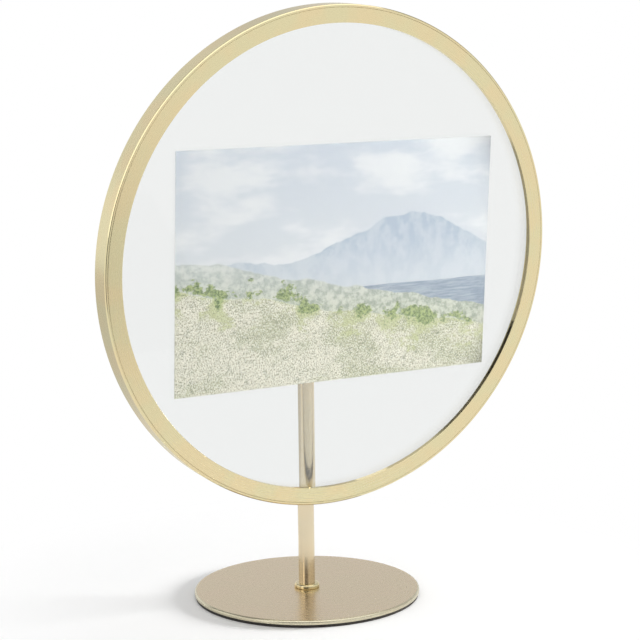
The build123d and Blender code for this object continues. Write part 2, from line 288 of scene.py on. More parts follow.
def makeWorld():
    # white at the horizon and pale above, with a narrow dark arc behind on the left for the mouth's wall
    settings = worldSettings
    world = bpy.data.worlds.new("studioWorld")
    bpy.context.scene.world = world
    world.use_nodes = True
    tree = world.node_tree
    tree.nodes.clear()
    soft = settings["soft"]
    heading = addNode(tree, "ShaderNodeTexCoord").outputs["Generated"]
    parts = addNode(tree, "ShaderNodeSeparateXYZ", {0: heading}).outputs
    behind = remap(tree, parts["X"], *settings["behindTurn"], *settings["behindLight"])
    upper = remap(tree, parts["Y"], *settings["frontTurn"], settings["frontLight"], behind)
    upper = remap(tree, parts["Z"], *settings["zenithTurn"], upper, settings["zenithLight"])

    polish = addNode(tree, "ShaderNodeLightPath").outputs["Is Glossy Ray"]
    polish = calc(tree, "MULTIPLY", polish, remap(tree, parts["Y"], *settings["polishBack"], 1.0, 0.0))
    polish = calc(tree, "MULTIPLY", polish, remap(tree, parts["Z"], *settings["polishFoot"], 0.0, 1.0))
    polish = calc(tree, "MULTIPLY", polish, remap(tree, parts["X"], *settings["polishLeft"], 0.0, 1.0))
    upper = remap(tree, polish, 0.0, 1.0, upper, settings["polishLight"], False)
    above = remap(tree, parts["Z"], settings["horizonTop"], settings["horizonTop"] + soft, 0.0, 1.0)
    pale = remap(tree, above, 0.0, 1.0, 1.0, upper, False)

    axis = addNode(tree, "ShaderNodeVectorMath", {0: heading, 1: -discFront}, operation="DOT_PRODUCT")
    axis = axis.outputs["Value"]
    insideEdge = remap(tree, axis, settings["arcInner"], settings["arcInner"] + soft, 1.0, 0.0)
    outsideEdge = remap(tree, axis, settings["arcOuter"] - soft, settings["arcOuter"], 0.0, 1.0)
    foot = remap(tree, parts["Z"], *settings["arcFoot"], 0.0, 1.0)
    dark = remap(tree, foot, 0.0, 1.0, floorSettings["mouthTone"], settings["arcLight"], False)
    side = remap(tree, parts["X"], *settings["arcSide"], 1.0, 0.0)
    arc = calc(tree, "MULTIPLY", insideEdge, outsideEdge)
    for limit in (calc(tree, "MAXIMUM", foot, mouthRays(tree)), side):
        arc = calc(tree, "MULTIPLY", arc, limit)
    strength = remap(tree, arc, 0.0, 1.0, pale, dark, False)
    sky = addNode(tree, "ShaderNodeBackground", {"Color": (1, 1, 1, 1), "Strength": strength})
    addNode(tree, "ShaderNodeOutputWorld", {"Surface": sky.outputs[0]})


def makeCard(name, pairs, tone):
    material, tree = blankMaterial(name)
    felt = addNode(tree, "ShaderNodeEmission", {"Color": (1, 1, 1, 1), "Strength": tone})
    closeMaterial(tree, felt.outputs[0])
    mesh = bpy.data.meshes.new(name)
    corners = [corner for pair in pairs for corner in pair]
    faces = [(2 * row, 2 * row + 1, 2 * row + 3, 2 * row + 2) for row in range(len(pairs) - 1)]
    mesh.from_pydata(corners, [], faces)
    mesh.materials.append(material)
    card = bpy.data.objects.new(name, mesh)
    bpy.context.scene.collection.objects.link(card)
    for ray in ("camera", "diffuse", "transmission", "shadow"):
        setattr(card, "visible_" + ray, False)


def makeRibbon():
    settings = ribbonSettings
    path = []
    for heading, height in zip(settings["headings"], settings["heights"]):
        turn, rise = radians(heading), radians(height)
        path.append(Vector((sin(turn) * cos(rise), cos(turn) * cos(rise), sin(rise))))
    reach = tan(radians(settings["halfWidth"]))
    pairs = []
    for index, middle in enumerate(path):
        along = path[min(index + 1, len(path) - 1)] - path[max(index - 1, 0)]
        aside = middle.cross(along).normalized() * reach
        pairs.append([pivotPlace + (middle + way * aside) * settings["distance"] for way in (-1, 1)])
    makeCard("rimRibbon", pairs, settings["tone"])


def makeLamp(name, place, size, watts):
    data = bpy.data.lights.new(name, "AREA")
    data.shape = "RECTANGLE"
    data.size, data.size_y = size
    data.energy = watts
    lamp = bpy.data.objects.new(name, data)
    bpy.context.scene.collection.objects.link(lamp)
    towards = Vector(lampAim) - Vector(place)
    turned = towards.to_track_quat("-Z", "Y").to_matrix().to_4x4()
    lamp.matrix_world = Matrix.Translation(place) @ turned
    lamp.visible_camera = False
    lamp.visible_glossy = False  # the metal mirrors the cards and the world alone


makeFloor()
makeWorld()
for card in cardSettings:
    makeCard(**card)
makeRibbon()
for name, settings in lampSettings.items():
    makeLamp(name, **settings)
print("stage and lamps made")

bpy.context.scene.view_settings.view_transform = "Standard"


# Metals
def grainOf(tree, axes, lengthShare, pitch):
    # streaks that run round the axis: quick across the radius and height, slow along the turn
    place = localPlace(tree, axes)
    parts = addNode(tree, "ShaderNodeSeparateXYZ", {0: place}).outputs
    flat = addNode(tree, "ShaderNodeCombineXYZ", {0: parts[0], 1: parts[1]}).outputs[0]
    radius = addNode(tree, "ShaderNodeVectorMath", {0: flat}, operation="LENGTH").outputs["Value"]
    heading = addNode(tree, "ShaderNodeVectorMath", {0: flat}, operation="NORMALIZE").outputs[0]
    drawn = {0: heading, "Scale": lengthShare}
    heading = addNode(tree, "ShaderNodeVectorMath", drawn, operation="SCALE").outputs[0]
    lift = calc(tree, "MULTIPLY", parts[2], 1 / pitch)
    lift = addNode(tree, "ShaderNodeCombineXYZ", {2: lift}).outputs[0]
    vector = addNode(tree, "ShaderNodeVectorMath", {0: heading, 1: lift}, operation="ADD").outputs[0]
    depth = calc(tree, "MULTIPLY", radius, 1 / pitch)
    return noiseOf(tree, vector, 1.0, 3.0, 0.6, "4D", depth)


brassSettings = {  # lengths in millimetres
    "warm": (0.790, 0.665, 0.400),
    "cool": (0.750, 0.678, 0.415),
    "streak": (0.45, 0.36, 0.19),
    "streakShare": 0.035,
    "patch": 14.0,
    "roughness": 0.27,
    "roughnessSwing": 0.02,
    "bump": 0.0005,
    "bumpStrength": 0.25,
    "grainPitch": 0.40,
    "grainShare": 9.0,
}
steelSettings = {
    "pale": (0.66, 0.66, 0.67),
    "dull": (0.56, 0.56, 0.58),
    "roughness": (0.22, 0.40),
    "bump": 0.01,
    "bumpStrength": 0.3,
    "grainPitch": 0.2,
    "grainShare": 6.0,
    "patchScale": 0.6,
}


def metalShader(tree, tone, rough, grain, settings):
    relief = {"Strength": settings["bumpStrength"], "Distance": settings["bump"] / 1000, "Height": grain}
    bump = addNode(tree, "ShaderNodeBump", relief)
    inputs = {"Base Color": tone, "Metallic": 1.0, "Roughness": rough, "Normal": bump.outputs[0]}
    closeMaterial(tree, addNode(tree, "ShaderNodeBsdfPrincipled", inputs).outputs[0])


def satinBrass(name, axes, **changes):
    settings = {**brassSettings, **changes}
    material, tree = blankMaterial(name)
    place = localPlace(tree, axes)
    patches = noiseOf(tree, place, 1 / settings["patch"], 2.0, 0.5)
    grain = grainOf(tree, axes, settings["grainShare"], settings["grainPitch"])
    turn = remap(tree, patches, 0.35, 0.65, 0.0, 1.0)
    tone = mixColours(tree, turn, settings["warm"], settings["cool"])
    streaks = remap(tree, grain, 0.25, 0.75, settings["streakShare"], 0.0, False)
    tone = mixColours(tree, streaks, tone, settings["streak"])
    middle, swing = settings["roughness"], settings["roughnessSwing"]
    rough = remap(tree, grain, 0.3, 0.7, middle - swing, middle + swing, False)
    metalShader(tree, tone, rough, grain, settings)
    return material


def zincSteel(name, axes):
    settings = steelSettings
    material, tree = blankMaterial(name)
    grain = grainOf(tree, axes, settings["grainShare"], settings["grainPitch"])
    patches = noiseOf(tree, localPlace(tree, axes), settings["patchScale"], 3.0, 0.6)
    tone = mixColours(tree, patches, settings["pale"], settings["dull"])
    rough = remap(tree, calc(tree, "ADD", grain, patches), 0.7, 1.3, *settings["roughness"], False)
    metalShader(tree, tone, rough, grain, settings)
    return material


# Rubber, nylon, paper, glass and adhesive
mattSettings = {"fineScale": 8.0, "roughnessSwing": 0.08, "poreStrength": 0.4}


def mattSolid(name, axes, dark, light, roughness, patch, bump):
    material, tree = blankMaterial(name)
    place = localPlace(tree, axes)
    coarse = noiseOf(tree, place, 1 / patch, 4.0, 0.6)
    fine = noiseOf(tree, place, mattSettings["fineScale"], 2.0, 0.6)
    tone = mixColours(tree, remap(tree, coarse, 0.3, 0.7, 0.0, 1.0), dark, light)
    swing = mattSettings["roughnessSwing"]
    rough = remap(tree, fine, 0.3, 0.7, roughness - swing, roughness + swing, False)
    relief = {"Strength": mattSettings["poreStrength"], "Distance": bump / 1000, "Height": fine}
    pores = addNode(tree, "ShaderNodeBump", relief)
    inputs = {"Base Color": tone, "Roughness": rough, "Normal": pores.outputs[0]}
    closeMaterial(tree, addNode(tree, "ShaderNodeBsdfPrincipled", inputs).outputs[0])
    return material


glassSettings = {
    "tint": (0.925, 0.932, 0.928, 1),
    "shadowTint": (0.93, 0.94, 0.935, 1),
    "ior": 1.5,
    "smearScale": 0.03,
    "smearRoughness": 0.015,
}
bondSettings = {
    "tint": (0.86, 0.88, 0.87, 1),
    "bubbleScale": 1.2,
    "roughness": (0.15, 0.5),
    "clear": 0.55,
    "ior": 1.47,
}


def clearGlass():
    settings = glassSettings
    material, tree = blankMaterial("clearPane")
    path = addNode(tree, "ShaderNodeLightPath")
    smears = noiseOf(tree, localPlace(tree, discFrame), settings["smearScale"], 3.0, 0.6)
    inputs = {
        "Base Color": settings["tint"],
        "Transmission Weight": 1.0,
        "IOR": settings["ior"],
        "Roughness": remap(tree, smears, 0.45, 0.75, 0.0, settings["smearRoughness"]),
    }
    pane = addNode(tree, "ShaderNodeBsdfPrincipled", inputs)
    shade = addNode(tree, "ShaderNodeBsdfTransparent", {"Color": settings["shadowTint"]})
    inputs = {0: path.outputs["Is Shadow Ray"], 1: pane.outputs[0], 2: shade.outputs[0]}
    closeMaterial(tree, addNode(tree, "ShaderNodeMixShader", inputs).outputs[0])
    return material


def clearBond():
    settings = bondSettings
    material, tree = blankMaterial("clearBond")
    bubbles = noiseOf(tree, localPlace(tree, discFrame), settings["bubbleScale"], 2.0, 0.5)
    inputs = {
        "Base Color": settings["tint"],
        "Roughness": remap(tree, bubbles, 0.3, 0.8, *settings["roughness"]),
        "Transmission Weight": settings["clear"],
        "IOR": settings["ior"],
    }
    closeMaterial(tree, addNode(tree, "ShaderNodeBsdfPrincipled", inputs).outputs[0])
    return material


# The print: a generic lake valley, drawn by noise in the print's own millimetres
pictureSettings = {
    "skyTop": (0.390, 0.421, 0.470),
    "skyLow": (0.460, 0.480, 0.500),
    "cloud": (0.541, 0.549, 0.556),
    "mountain": (0.280, 0.330, 0.396),
    "haze": (0.466, 0.487, 0.507),
    "water": (0.167, 0.209, 0.265),
    "ripple": (0.314, 0.353, 0.393),
    "ridge": (0.229, 0.259, 0.206),
    "ridgeLight": (0.451, 0.458, 0.389),
    "straw": (0.566, 0.539, 0.433),
    "grass": (0.351, 0.355, 0.222),
    "strawLight": (0.657, 0.645, 0.565),
    "shade": (0.133, 0.141, 0.102),
    "fresh": (0.366, 0.389, 0.176),
    "bush": (0.066, 0.116, 0.033),
    "bushLight": (0.273, 0.331, 0.124),
    "peakPlace": 34.0,  # places and heights on the print, in millimetres from its middle
    "peakReach": 62.0,
    "peakRise": 17.0,
    "mountainFoot": 2.0,
    "shoreHeight": -11.0,
    "ridgeHeight": -9.0,
    "ridgeFall": -0.20,
    "meadowHeight": -21.0,
    "meadowFall": -0.17,
    "paperGloss": (0.38, 0.50),
}


def hillLine(tree, across, level, slope, rise, wave, seed):
    # height of a hill's outline over the print, in millimetres
    noise = noiseOf(tree, None, 1.0, 5.0, 0.5, "1D", calc(tree, "MULTIPLY_ADD", across, 1 / wave, seed))
    swell = calc(tree, "MULTIPLY_ADD", calc(tree, "SUBTRACT", noise, 0.5), rise * 2, level)
    return calc(tree, "MULTIPLY_ADD", across, slope, swell)


def below(tree, up, line, softness):
    return remap(tree, calc(tree, "SUBTRACT", line, up), -softness, softness, 0.0, 1.0)


def stretched(tree, place, across, up):
    inputs = {0: place, 1: (across, up, 1.0)}
    return addNode(tree, "ShaderNodeVectorMath", inputs, operation="MULTIPLY").outputs[0]


def skyOf(tree, ink, place, up):
    clouds = noiseOf(tree, stretched(tree, place, 0.022, 0.055), 1.0, 7.0, 0.58)
    sky = mixColours(tree, remap(tree, up, 0.0, 50.0, 0.0, 1.0, False), ink["skyLow"], ink["skyTop"])
    return mixColours(tree, remap(tree, clouds, 0.44, 0.62, 0.0, 0.9), sky, ink["cloud"])


def meadowOf(tree, ink, place, fine):
    # straw and grass in broad patches, darker tufts between them, and fine blades over both
    broad = noiseOf(tree, stretched(tree, place, 1.0, 1.6), 0.045, 3.0, 0.6)
    tufts = noiseOf(tree, stretched(tree, place, 1.2, 1.0), 0.30, 5.0, 0.7)
    across = addNode(tree, "ShaderNodeSeparateXYZ", {0: place}).outputs[0]
    green = remap(tree, calc(tree, "MULTIPLY_ADD", across, 0.0014, broad), 0.42, 0.62, 0.0, 1.0)
    meadow = mixColours(tree, green, ink["straw"], ink["grass"])
    meadow = mixColours(tree, remap(tree, tufts, 0.52, 0.66, 0.0, 0.55), meadow, ink["shade"])
    meadow = mixColours(tree, remap(tree, tufts, 0.36, 0.48, 0.45, 0.0), meadow, ink["strawLight"])
    meadow = mixColours(tree, remap(tree, fine, 0.41, 0.50, 0.85, 0.0), meadow, ink["shade"])
    return mixColours(tree, remap(tree, fine, 0.51, 0.59, 0.0, 0.90), meadow, ink["strawLight"])


def printedPicture(axes):
    ink = pictureSettings
    material, tree = blankMaterial("printedPicture")
    place = localPlace(tree, axes)
    parts = addNode(tree, "ShaderNodeSeparateXYZ", {0: place}).outputs
    across, up = parts[0], parts[1]
    fine = noiseOf(tree, stretched(tree, place, 1.15, 0.75), 1.8, 5.0, 0.8)
    picture = skyOf(tree, ink, place, up)

    peak = calc(tree, "ABSOLUTE", calc(tree, "SUBTRACT", across, ink["peakPlace"]))
    mountainLine = hillLine(tree, across, ink["mountainFoot"], 0.0, 6.0, 30.0, 3.1)
    slope = remap(tree, peak, 0.0, ink["peakReach"], ink["peakRise"], 0.0)
    mountainLine = calc(tree, "ADD", mountainLine, slope)
    folds = noiseOf(tree, stretched(tree, place, 0.16, 0.09), 1.0, 6.0, 0.65)
    mountain = mixColours(tree, remap(tree, folds, 0.40, 0.60, 0.0, 0.45), ink["mountain"], ink["haze"])
    haze = mixColours(tree, remap(tree, up, -12.0, 14.0, 0.65, 0.0), mountain, ink["haze"])
    picture = mixColours(tree, below(tree, up, mountainLine, 0.25), picture, haze)

    shoreLine = hillLine(tree, across, ink["shoreHeight"], 0.0, 0.8, 40.0, 9.0)
    ripples = noiseOf(tree, stretched(tree, place, 0.10, 1.3), 1.0, 4.0, 0.7)
    water = mixColours(tree, remap(tree, ripples, 0.35, 0.65, 0.0, 0.8), ink["water"], ink["ripple"])
    picture = mixColours(tree, below(tree, up, shoreLine, 0.2), picture, water)

    ridgeLine = hillLine(tree, across, ink["ridgeHeight"], ink["ridgeFall"], 3.0, 24.0, 17.7)
    slopes = noiseOf(tree, place, 0.35, 6.0, 0.7)
    ridge = mixColours(tree, remap(tree, slopes, 0.38, 0.62, 0.0, 1.0), ink["ridge"], ink["ridgeLight"])
    ridge = mixColours(tree, remap(tree, up, -25.0, 10.0, 0.0, 0.5), ridge, ink["haze"])
    picture = mixColours(tree, below(tree, up, ridgeLine, 0.3), picture, ridge)

    meadowLine = hillLine(tree, across, ink["meadowHeight"], ink["meadowFall"], 4.0, 47.0, 8.4)
    meadowLine = calc(tree, "MULTIPLY_ADD", fine, 2.0, meadowLine)
    bushNoise = noiseOf(tree, stretched(tree, place, 0.8, 1.0), 0.10, 6.0, 0.7)
    crest = calc(tree, "ABSOLUTE", calc(tree, "SUBTRACT", up, calc(tree, "ADD", meadowLine, 1.5)))
    freshMask = remap(tree, calc(tree, "MULTIPLY_ADD", crest, -0.012, bushNoise), 0.38, 0.50, 0.0, 0.75)
    meadow = mixColours(tree, freshMask, meadowOf(tree, ink, place, fine), ink["fresh"])
    meadow = mixColours(tree, remap(tree, fine, 0.42, 0.50, 0.6, 0.0), meadow, ink["shade"])
    picture = mixColours(tree, below(tree, up, meadowLine, 0.3), picture, meadow)
    bushMask = remap(tree, calc(tree, "MULTIPLY_ADD", crest, -0.022, bushNoise), 0.48, 0.51, 0.0, 1.0)
    leaves = noiseOf(tree, place, 0.75, 4.0, 0.7)
    leaf = mixColours(tree, remap(tree, leaves, 0.42, 0.58, 0.0, 1.0), ink["bush"], ink["bushLight"])
    leaf = mixColours(tree, remap(tree, fine, 0.52, 0.60, 0.0, 0.5), leaf, ink["grass"])
    picture = mixColours(tree, bushMask, picture, leaf)

    gloss = remap(tree, noiseOf(tree, place, 3.0, 2.0, 0.5), 0.3, 0.7, *ink["paperGloss"], False)
    inputs = {"Base Color": picture, "Roughness": gloss, "Specular IOR Level": 0.35}
    closeMaterial(tree, addNode(tree, "ShaderNodeBsdfPrincipled", inputs).outputs[0])
    return material


# Mesh helpers
meshSettings = {
    "weld": 1e-7,
    "solidWeld": 1e-6,
    "flatAngle": 0.5,  # degrees, under which a solid's triangles are one face
    "sharpAngle": 32.0,
    "bevelSegments": 2,
    "pathRadius": 0.01,
}


def roundedOutline(corners, steps=6):
    # corners are (x, y, radius); a corner with a radius becomes an arc
    points = []
    for index, (x, y, radius) in enumerate(corners):
        here = Vector((x, y))
        if not radius:
            points.append(here)
            continue
        back = (Vector(corners[index - 1][:2]) - here).normalized()
        onward = (Vector(corners[(index + 1) % len(corners)][:2]) - here).normalized()
        half = back.angle(onward) / 2
        centre = here + (back + onward).normalized() * radius / sin(half)
        first = (here + back * radius / tan(half) - centre).normalized()
        last = (here + onward * radius / tan(half) - centre).normalized()
        for step in range(steps + 1):
            points.append(centre + first.slerp(last, step / steps) * radius)
    return points


def startTree(name, sockets, result):
    # a geometry nodes tree with its named inputs and its one result
    tree = bpy.data.node_groups.new(name, "GeometryNodeTree")
    for label, kind in sockets.items():
        tree.interface.new_socket(name=label, in_out="INPUT", socket_type="NodeSocket" + kind)
    tree.interface.new_socket(name=result, in_out="OUTPUT", socket_type="NodeSocketGeometry")
    return tree, addNode(tree, "NodeGroupInput").outputs


def endTree(tree, shape, finish, result):
    real = addNode(tree, "GeometryNodeRealizeInstances", {"Geometry": shape.outputs[0]})
    done = addNode(tree, "GeometryNodeSetMaterial", {"Geometry": real.outputs[0], "Material": finish})
    addNode(tree, "NodeGroupOutput", {result: done.outputs[0]})
    return tree


def turningTree():
    # a flat outline of radius and height is swept round the z axis
    sockets = {
        "Outline": "Geometry",
        "Segments": "Int",
        "Path Radius": "Float",
        "Weld": "Float",
        "Finish": "Material",
    }
    tree, given = startTree("turnedPiece", sockets, "Piece")
    line = addNode(tree, "GeometryNodeMeshToCurve", {"Mesh": given["Outline"]})
    inward = calc(tree, "MULTIPLY", given["Path Radius"], -1.0)
    offset = addNode(tree, "ShaderNodeCombineXYZ", {0: inward}).outputs[0]
    moved = addNode(tree, "GeometryNodeTransform", {"Geometry": line.outputs[0], "Translation": offset})
    circle = {"Resolution": given["Segments"], "Radius": given["Path Radius"]}
    path = addNode(tree, "GeometryNodeCurvePrimitiveCircle", circle)
    sweep = {"Curve": path.outputs[0], "Profile Curve": moved.outputs[0]}
    swept = addNode(tree, "GeometryNodeCurveToMesh", sweep)
    joining = {"Geometry": swept.outputs[0], "Distance": given["Weld"]}
    welded = addNode(tree, "GeometryNodeMergeByDistance", joining)
    return endTree(tree, welded, given["Finish"], "Piece")


def patternTree():
    # copies of a piece, each moved and turned on by one step
    sockets = {
        "Piece": "Geometry",
        "Count": "Int",
        "Start": "Vector",
        "Step": "Vector",
        "Turn": "Float",
        "Finish": "Material",
    }
    tree, given = startTree("copiedPieces", sockets, "Pieces")
    row = {"Count": given["Count"], "Start Location": given["Start"], "Offset": given["Step"]}
    places = addNode(tree, "GeometryNodeMeshLine", row, mode="OFFSET", count_mode="TOTAL")
    number = addNode(tree, "GeometryNodeInputIndex").outputs[0]
    angle = calc(tree, "MULTIPLY", number, given["Turn"])
    turn = addNode(tree, "ShaderNodeCombineXYZ", {2: angle}).outputs[0]
    copies = {"Points": places.outputs[0], "Instance": given["Piece"], "Rotation": turn}
    placed = addNode(tree, "GeometryNodeInstanceOnPoints", copies)
    return endTree(tree, placed, given["Finish"], "Pieces")


def setInputs(modifier, values):
    for item in modifier.node_group.interface.items_tree:
        if item.in_out == "INPUT" and item.name in values:
            modifier[item.identifier] = values[item.name]


def bakedMesh(source, name):
    # the evaluated object's mesh as plain data; the source object goes
    bpy.context.view_layer.update()
    graph = bpy.context.evaluated_depsgraph_get()
    mesh = bpy.data.meshes.new_from_object(source.evaluated_get(graph))
    mesh.name = name
    bpy.data.objects.remove(source)
    return mesh


def linked(name, mesh):
    piece = bpy.data.objects.new(name, mesh)
    bpy.context.scene.collection.objects.link(piece)
    return piece


def cleaned(mesh):
    shape = bmesh.new()
    shape.from_mesh(mesh)
    bmesh.ops.remove_doubles(shape, verts=shape.verts, dist=meshSettings["weld"])
    bmesh.ops.recalc_face_normals(shape, faces=shape.faces)
    shape.to_mesh(mesh)
    shape.free()


def smoothed(name, mesh, bevel=None):
    # soft shading with flat faces kept flat, after an optional bevel of the sharp edges
    sharpAngle = radians(meshSettings["sharpAngle"])
    piece = linked(name + "_raw", mesh)
    if bevel:
        edge = piece.modifiers.new("edge", "BEVEL")
        edge.width = bevel
        edge.segments = meshSettings["bevelSegments"]
        edge.limit_method = "ANGLE"
        edge.angle_limit = sharpAngle
        edge.use_clamp_overlap = True
    mesh.shade_smooth()
    mesh.set_sharp_from_angle(angle=sharpAngle)
    level = piece.modifiers.new("level", "WEIGHTED_NORMAL")
    level.keep_sharp = True
    return linked(name, bakedMesh(piece, name))


turning = turningTree()
copying = patternTree()


def copied(name, mesh, material, count, start=(0.0, 0.0, 0.0), step=(0.0, 0.0, 0.0), turn=0.0):
    source = linked(name + "_one", mesh)
    modifier = source.modifiers.new("copies", "NODES")
    modifier.node_group = copying
    setInputs(modifier, {"Count": count, "Start": start, "Step": step, "Turn": turn, "Finish": material})
    return bakedMesh(source, name)


def refinish(mesh, material, picked):
    # gives the faces that are picked by their radius and height another finish
    mesh.materials.append(material)
    for face in mesh.polygons:
        if picked(face.center.xy.length, face.center.z):
            face.material_index = len(mesh.materials) - 1


def turnedMesh(name, corners, material, segments=96, steps=6, closed=True):
    outline = roundedOutline(corners, steps)
    count = len(outline)
    edges = [(index, (index + 1) % count) for index in range(count if closed else count - 1)]
    mesh = bpy.data.meshes.new(name + "_outline")
    mesh.from_pydata([(point.x, -point.y, 0) for point in outline], edges, [])
    source = linked(name + "_outline", mesh)
    modifier = source.modifiers.new("turn", "NODES")
    modifier.node_group = turning
    path, weld = meshSettings["pathRadius"], meshSettings["weld"]
    setInputs(modifier, {"Segments": segments, "Path Radius": path, "Weld": weld, "Finish": material})
    made = bakedMesh(source, name)
    cleaned(made)
    return made


def ringCorners(span, rounds):
    # an outline of four corners, rounded from the inner foot outwards and up
    foot, top = span.low, span.high
    places = ((span.inner, foot), (span.outer, foot), (span.outer, top), (span.inner, top))
    return [(*place, rounding) for place, rounding in zip(places, rounds)]


def discCorners(span, rounding):
    # half the outline of a full disc, its foot's edge rounded
    foot, top = span.low, span.high
    return [(0, foot, 0), (span.outer, foot, rounding), (span.outer, top, 0), (0, top, 0)]


def turned(name, corners, axes, material, segments=96, steps=6, closed=True, finishes=()):
    made = turnedMesh(name, corners, material, segments, steps, closed)
    for finish in finishes:
        refinish(made, *finish)
    made.transform(axes)
    return smoothed(name, made)


def softened(name, node, material, bevel):
    # a copy of a CAD node, its triangles joined into whole faces and its edges eased
    mesh = frame["nodes"][node].data.copy()
    mesh.name = name
    mesh.materials.clear()
    shape = bmesh.new()
    shape.from_mesh(mesh)
    bmesh.ops.remove_doubles(shape, verts=shape.verts, dist=meshSettings["solidWeld"])
    bmesh.ops.recalc_face_normals(shape, faces=shape.faces)
    flat = radians(meshSettings["flatAngle"])
    bmesh.ops.dissolve_limit(shape, angle_limit=flat, verts=shape.verts, edges=shape.edges)
    shape.to_mesh(mesh)
    shape.free()
    mesh.materials.append(material)
    return smoothed(name, mesh, bevel=bevel)


def fitted(piece, body, slotName, *nodes):
    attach(piece, body)
    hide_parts(*nodes)
    return piece


# Materials of this frame
brassFinishes = {
    "discBrass": {"axes": discFrame},
    "rimBrass": {"axes": discFrame, "roughness": 0.10, "roughnessSwing": 0.01, "bump": 0.0001},
    "mouthBrass": {"axes": discFrame, "roughness": 0.04, "roughnessSwing": 0.01, "bump": 0.0001},
    "baseBrass": {
        "axes": standFrame,
        "warm": (0.748, 0.615, 0.435),
        "cool": (0.738, 0.618, 0.432),
        "bump": 0.00006,
        "streakShare": 0.010,
    },
    # a darker, paler copy of the base's brass for its side and top edge's rounding: painted shade that dims
    # their bright line
    "shadedSideBrass": {
        "axes": standFrame,
        "warm": (0.660, 0.600, 0.440),
        "cool": (0.650, 0.605, 0.450),
        "bump": 0.00008,
        "streakShare": 0.0,
    },
    "tubeBrass": {
        "axes": standFrame,
        "warm": (0.755, 0.640, 0.450),
        "cool": (0.730, 0.635, 0.455),
        "roughness": 0.20,
        "grainPitch": 0.8,
    },
    "collarBrass": {"axes": standFrame, "roughness": 0.14, "bump": 0.0003},
}
mattFinishes = {  # axes, dark and light tone, roughness, patch and pore size in millimetres
    "rubberBlack": (discFrame, (0.012, 0.012, 0.013), (0.025, 0.024, 0.023), 0.62, 3.0, 0.02),
    "padBlack": (standFrame, (0.016, 0.013, 0.011), (0.034, 0.029, 0.024), 0.70, 3.0, 0.03),
    "nylonWhite": (pivotFrame, (0.80, 0.80, 0.77), (0.88, 0.88, 0.86), 0.42, 1.5, 0.01),
    "paperWhite": (discFrame, (0.80, 0.80, 0.79), (0.87, 0.87, 0.86), 0.60, 12.0, 0.004),
}
brass = {name: satinBrass(name, **finish) for name, finish in brassFinishes.items()}
matt = {name: mattSolid(name, *finish) for name, finish in mattFinishes.items()}
paneGlass = clearGlass()
bondClear = clearBond()
discSteel = zincSteel("discSteel", discFrame)
pivotSteel = zincSteel("pivotSteel", pivotFrame)
standSteel = zincSteel("standSteel", standFrame)
print("materials made")


# Base, stem and collar
baseSettings = {
    "plateRounds": (0, 0.0002, 0.0010, 0),
    "padRounds": (0.0002, 0.0002, 0, 0),
    "shadedEdgeShare": 0.9,  # share of the top edge's rounding that gets the side's darker brass, which is painted shade
    "screwEdge": 0.00008,
    "segments": 256,
}
stemSettings = {
    "tubeRounds": (0, 0, 0.00015, 0.00015),
    "collarRounds": (0, 0.0004, 0.0009, 0),
    "headEdge": 0.00015,
    "segments": 128,
}


def makeStand():
    segments = baseSettings["segments"]
    plate = Span("base_plate", standFrame)
    corners = ringCorners(plate, baseSettings["plateRounds"])
    # the side and most of the top edge's rounding get the darker brass, painted shade
    shadedSideStart = plate.outer - baseSettings["plateRounds"][2] * baseSettings["shadedEdgeShare"]
    side = (brass["shadedSideBrass"], lambda radius, height: radius > shadedSideStart)
    piece = turned("basePlate", corners, standFrame, brass["baseBrass"], segments, 8, finishes=[side])
    fitted(piece, "stand", "satin_brass", "base_plate")

    corners = ringCorners(Span("base_pad", standFrame), baseSettings["padRounds"])
    piece = turned("basePad", corners, standFrame, matt["padBlack"], segments)
    fitted(piece, "stand", "black_rubber", "base_pad")

    segments = stemSettings["segments"]
    corners = ringCorners(Span("stem_tube", standFrame), stemSettings["tubeRounds"])
    piece = turned("stemTube", corners, standFrame, brass["tubeBrass"], segments, 4)
    fitted(piece, "stand", "satin_brass", "stem_tube")

    corners = ringCorners(Span("stem_collar", standFrame), stemSettings["collarRounds"])
    piece = turned("stemCollar", corners, standFrame, brass["collarBrass"], segments, 8)
    fitted(piece, "stand", "satin_brass", "stem_collar")

    piece = softened("stemHead", "stem_head", brass["tubeBrass"], stemSettings["headEdge"])
    fitted(piece, "stand", "satin_brass", "stem_head")
    piece = softened("baseScrew", "base_screw", standSteel, baseSettings["screwEdge"])
    fitted(piece, "stand", "zinc_steel", "base_screw")


makeStand()
print("stand made")


# Ring, bezel, seals and panes
ringSettings = {
    "rimDrop": 0.00010,  # how far the rim lies behind the bezel's face
    "rimCut": 0.00052,  # the eased front edge, a narrow slant with rounded ends
    "rimRound": 0.00040,
    "lipRound": 0.00006,
    "rearRound": 0.00050,
    "flange": 0.0010,
    "slip": 0.00006,  # running gap between the hoop and the bezel's skirt
    "faceThickness": 0.0010,
    "mouthWall": 0.0008,
    "mouthClear": 0.0001,
    "skirt": 0.0006,
    "faceEdgeRound": 0.00020,
    "mouthRound": 0.00022,
    "sealRound": 0.2,  # share of a seal's smaller side
    "paneEdge": 0.0003,
    "segments": 320,
}


